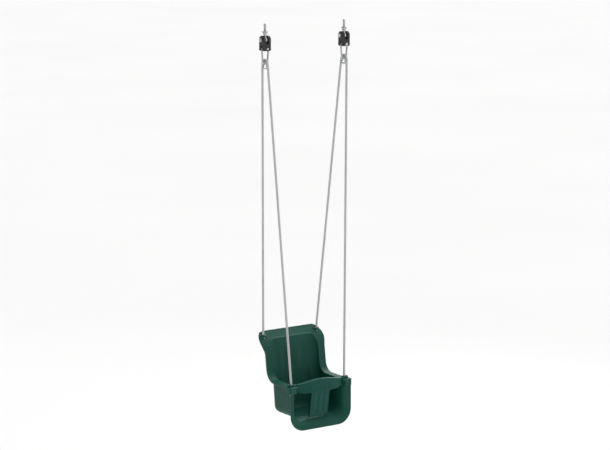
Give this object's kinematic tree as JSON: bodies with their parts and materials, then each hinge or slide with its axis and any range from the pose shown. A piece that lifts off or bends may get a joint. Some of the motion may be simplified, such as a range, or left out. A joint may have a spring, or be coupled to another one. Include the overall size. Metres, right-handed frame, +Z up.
{
  "type": "toddler bucket swing",
  "caption": "Moulded high-back toddler swing seat with guard bar and crotch post, hung by two ropes from two carabiners and pivoting hangers under a beam.",
  "frame": {"origin": "midway between the two hanger studs, in the plane of the beam's underside", "axes": "+Z up along the studs, +X along the beam, the seated child faces -Y"},
  "size_m": [0.468, 0.2713, 1.7675],
  "materials": {
    "zinc_steel": "zinc plated, satin",
    "carabiner_steel": "zinc plated bar, lightly polished",
    "yoke_black": "moulded glass-filled nylon, fine texture",
    "bush_nylon": "natural nylon",
    "rope_grey": "braided polyester rope, light grey",
    "seat_green": "blow-moulded polyethylene, semi-matt",
    "guard_green": "moulded polyethylene, semi-matt",
    "eyelet_black": "moulded eyelet",
    "ferrule_alu": "pressed, satin"
  },
  "bodies": {
    "hangers": {"eye_stud_left": "zinc_steel", "eye_stud_right": "zinc_steel", "beam_washers": "zinc_steel", "flange_nuts": "zinc_steel", "eye_bushes": "bush_nylon"},
    "swing": {"yoke_left": "yoke_black", "yoke_right": "yoke_black", "pivot_bolts": "zinc_steel", "pivot_nuts": "zinc_steel", "cross_pins": "zinc_steel", "pin_rings": "zinc_steel", "carabiner_left": "carabiner_steel", "carabiner_right": "carabiner_steel", "gate_rivets": "zinc_steel", "thimble_left": "zinc_steel", "thimble_right": "zinc_steel", "rope_left": "rope_grey", "rope_right": "rope_grey", "seat_shell": "seat_green", "rear_eyelets": "eyelet_black", "front_eyelets": "eyelet_black", "rear_washers": "zinc_steel", "front_washers": "zinc_steel", "rear_ferrules": "ferrule_alu", "front_ferrules": "ferrule_alu"},
    "gate_l": {"gate_left": "carabiner_steel", "gate_spring_left": "zinc_steel"},
    "gate_r": {"gate_right": "carabiner_steel", "gate_spring_right": "zinc_steel"},
    "guard": {"guard_bar": "guard_green"}
  },
  "joints": [
    {"name": "swing_pivot", "type": "hinge", "parent": "hangers", "child": "swing", "pos_m": [0, 0, -0.038], "axis": [1, 0, 0], "range_deg": [-60, 60]},
    {"name": "gate_left_hinge", "type": "hinge", "parent": "swing", "child": "gate_l", "pos_m": [-0.2174, 0, -0.12311], "axis": [0, 1, 0], "range_deg": [0, 24], "stiffness_Nm_per_rad": 0.3, "springref_deg": -20.05},
    {"name": "gate_right_hinge", "type": "hinge", "parent": "swing", "child": "gate_r", "pos_m": [0.2174, 0, -0.12311], "axis": [0, -1, 0], "range_deg": [0, 24], "stiffness_Nm_per_rad": 0.3, "springref_deg": -20.05},
    {"name": "guard_slide", "type": "slide", "parent": "swing", "child": "guard", "axis": [0, 0.057, 0.9984], "range_m": [0, 0.16]}
  ]
}
